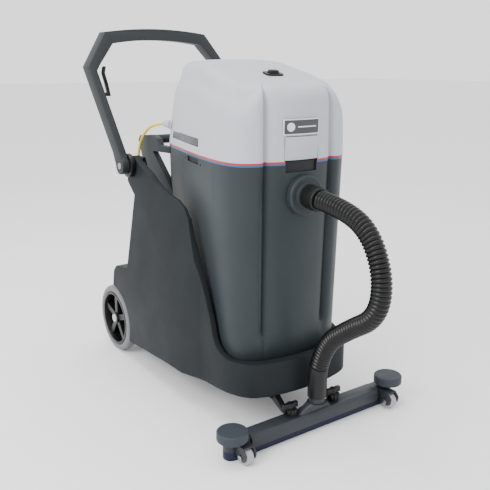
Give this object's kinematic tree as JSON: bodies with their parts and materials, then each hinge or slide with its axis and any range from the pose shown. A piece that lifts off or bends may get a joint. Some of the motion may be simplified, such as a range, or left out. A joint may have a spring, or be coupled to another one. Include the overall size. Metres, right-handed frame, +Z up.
{
  "type": "wet and dry vacuum cleaner",
  "caption": "Tank vacuum cleaner on a wheeled trolley with a folding push handle and a hose-fed floor squeegee at the front.",
  "frame": {"origin": "on the floor, at the middle of the machine's plan without its hose and lead", "axes": "+Z up, the squeegee end faces -Y, and +X is to the right for someone who faces that end"},
  "size_m": [0.578, 1.2421, 0.99],
  "materials": {
    "trolley_plastic": "matt moulded",
    "tank_plastic": "satin moulded",
    "head_plastic": "satin moulded",
    "frame_plastic": "fine texture",
    "black_plastic": "satin moulded",
    "hose_plastic": "corrugated",
    "cuff_plastic": "satin",
    "zinc_steel": "zinc plated",
    "motor_steel": "pressed",
    "aluminium_fan": "pressed",
    "red_film": "film",
    "blue_film": "film",
    "badge_film": "printed film",
    "seal_rubber": "soft",
    "filter_cloth": "felt",
    "ball_plastic": "moulded",
    "lead_jacket": "yellow jacket",
    "plug_plastic": "moulded",
    "brass": "plain",
    "blade_rubber": "matt",
    "bar_metal": "powder coat",
    "black_metal": "powder coat",
    "pale_plastic": "moulded",
    "grey_tyre": "non-marking rubber",
    "pale_tyre": "non-marking rubber",
    "roller_rubber": "matt"
  },
  "bodies": {
    "trolley": {"trolley_shell": "trolley_plastic", "rear_axle": "zinc_steel", "axle_washers": "zinc_steel", "tank": "tank_plastic", "stripe_red": "red_film", "stripe_blue": "blue_film", "inlet_ring": "black_plastic", "tipping_grip": "frame_plastic", "pivot_discs": "black_plastic", "pivot_bolts": "zinc_steel", "squeegee_hangers": "black_plastic", "suction_hose": "hose_plastic", "hose_cuff_upper": "black_plastic", "mains_lead": "lead_jacket", "lead_coil": "lead_jacket", "plug": "plug_plastic", "plug_pins": "brass"},
    "head": {"head_cover": "head_plastic", "badge_plate": "badge_film", "switch_bezel": "black_plastic", "cord_gland": "black_plastic", "motor_plate": "tank_plastic", "head_gasket": "seal_rubber", "fan_case": "motor_steel", "suction_motor": "motor_steel", "float_cage": "black_plastic", "filter_sleeve": "filter_cloth"},
    "latch": {"latch_flap": "head_plastic"},
    "switch": {"rocker_switch": "black_plastic"},
    "fan": {"suction_fan": "aluminium_fan"},
    "float": {"float_ball": "ball_plastic"},
    "handle": {"push_handle": "frame_plastic", "cord_hook": "frame_plastic"},
    "squeegee": {"squeegee_blade": "blade_rubber", "squeegee_bar": "bar_metal", "squeegee_neck": "bar_metal", "roller_posts": "zinc_steel", "front_forks": "frame_plastic", "front_wheel_pins": "pale_plastic", "squeegee_arms": "black_metal", "squeegee_studs": "zinc_steel", "hose_cuff_lower": "cuff_plastic"},
    "rear_wheel_left_body": {"rear_tyre_left": "grey_tyre", "rear_wheel_left": "black_plastic", "hub_cap_left": "pale_plastic"},
    "castor_left": {"castor_fork_left": "zinc_steel"},
    "castor_wheel_left_body": {"castor_wheel_left": "pale_tyre"},
    "clamp_knob_left_body": {"clamp_knob_left": "black_plastic"},
    "bumper_left": {"bumper_roller_left": "roller_rubber"},
    "front_wheel_left_body": {"front_wheel_left": "pale_tyre"},
    "squeegee_knob_left_body": {"squeegee_knob_left": "black_plastic"},
    "rear_wheel_right_body": {"rear_tyre_right": "grey_tyre", "rear_wheel_right": "black_plastic", "hub_cap_right": "pale_plastic"},
    "castor_right": {"castor_fork_right": "zinc_steel"},
    "castor_wheel_right_body": {"castor_wheel_right": "pale_tyre"},
    "clamp_knob_right_body": {"clamp_knob_right": "black_plastic"},
    "bumper_right": {"bumper_roller_right": "roller_rubber"},
    "front_wheel_right_body": {"front_wheel_right": "pale_tyre"},
    "squeegee_knob_right_body": {"squeegee_knob_right": "black_plastic"}
  },
  "joints": [
    {"name": "head_lift", "type": "slide", "parent": "trolley", "child": "head", "axis": [0, 0, 1], "range_m": [0, 0.15]},
    {"name": "latch_pull", "type": "hinge", "parent": "head", "child": "latch", "pos_m": [0, -0.333, 0.725], "axis": [-1, 0, 0], "range_deg": [0, 40]},
    {"name": "switch_rock", "type": "hinge", "parent": "head", "child": "switch", "pos_m": [0, -0.205, 0.86278], "axis": [1, 0, 0], "range_deg": [0, 10]},
    {"name": "fan_spin", "type": "hinge", "parent": "head", "child": "fan", "pos_m": [0, -0.04, 0.7], "axis": [0, 0, 1], "continuous": true},
    {"name": "float_rise", "type": "slide", "parent": "head", "child": "float", "axis": [0, 0, 1], "range_m": [0, 0.025]},
    {"name": "handle_fold", "type": "hinge", "parent": "trolley", "child": "handle", "pos_m": [0, 0.2415, 0.604], "axis": [1, 0, 0], "range_deg": [-60, 22]},
    {"name": "squeegee_float", "type": "hinge", "parent": "trolley", "child": "squeegee", "pos_m": [0, -0.312, 0.084], "axis": [-1, 0, 0], "range_deg": [0, 4], "deforming": ["suction_hose"]},
    {"name": "rear_wheel_spin_left", "type": "hinge", "parent": "trolley", "child": "rear_wheel_left_body", "pos_m": [-0.17, 0.345, 0.105], "axis": [1, 0, 0], "continuous": true},
    {"name": "castor_swivel_left", "type": "hinge", "parent": "trolley", "child": "castor_left", "pos_m": [-0.085, 0.005, 0.095], "axis": [0, 0, 1], "continuous": true},
    {"name": "castor_spin_left", "type": "hinge", "parent": "castor_left", "child": "castor_wheel_left_body", "pos_m": [-0.085, 0.029, 0.0375], "axis": [1, 0, 0], "continuous": true},
    {"name": "clamp_knob_turn_left", "type": "hinge", "parent": "trolley", "child": "clamp_knob_left_body", "pos_m": [-0.14, 0.2415, 0.604], "axis": [1, 0, 0], "range_deg": [0, 270]},
    {"name": "bumper_spin_left", "type": "hinge", "parent": "squeegee", "child": "bumper_left", "pos_m": [-0.252, -0.399, 0.065], "axis": [0, 0, 1], "continuous": true},
    {"name": "front_wheel_spin_left", "type": "hinge", "parent": "squeegee", "child": "front_wheel_left_body", "pos_m": [-0.232, -0.425, 0.02], "axis": [1, 0, 0], "continuous": true},
    {"name": "squeegee_knob_turn_left", "type": "hinge", "parent": "squeegee", "child": "squeegee_knob_left_body", "pos_m": [-0.07, -0.382, 0.07], "axis": [0, 0, 1], "range_deg": [0, 180]},
    {"name": "rear_wheel_spin_right", "type": "hinge", "parent": "trolley", "child": "rear_wheel_right_body", "pos_m": [0.17, 0.345, 0.105], "axis": [1, 0, 0], "continuous": true},
    {"name": "castor_swivel_right", "type": "hinge", "parent": "trolley", "child": "castor_right", "pos_m": [0.085, 0.005, 0.095], "axis": [0, 0, 1], "continuous": true},
    {"name": "castor_spin_right", "type": "hinge", "parent": "castor_right", "child": "castor_wheel_right_body", "pos_m": [0.085, 0.029, 0.0375], "axis": [1, 0, 0], "continuous": true},
    {"name": "clamp_knob_turn_right", "type": "hinge", "parent": "trolley", "child": "clamp_knob_right_body", "pos_m": [0.14, 0.2415, 0.604], "axis": [1, 0, 0], "range_deg": [0, 270]},
    {"name": "bumper_spin_right", "type": "hinge", "parent": "squeegee", "child": "bumper_right", "pos_m": [0.252, -0.399, 0.065], "axis": [0, 0, 1], "continuous": true},
    {"name": "front_wheel_spin_right", "type": "hinge", "parent": "squeegee", "child": "front_wheel_right_body", "pos_m": [0.232, -0.425, 0.02], "axis": [1, 0, 0], "continuous": true},
    {"name": "squeegee_knob_turn_right", "type": "hinge", "parent": "squeegee", "child": "squeegee_knob_right_body", "pos_m": [0.07, -0.382, 0.07], "axis": [0, 0, 1], "range_deg": [0, 180]}
  ]
}
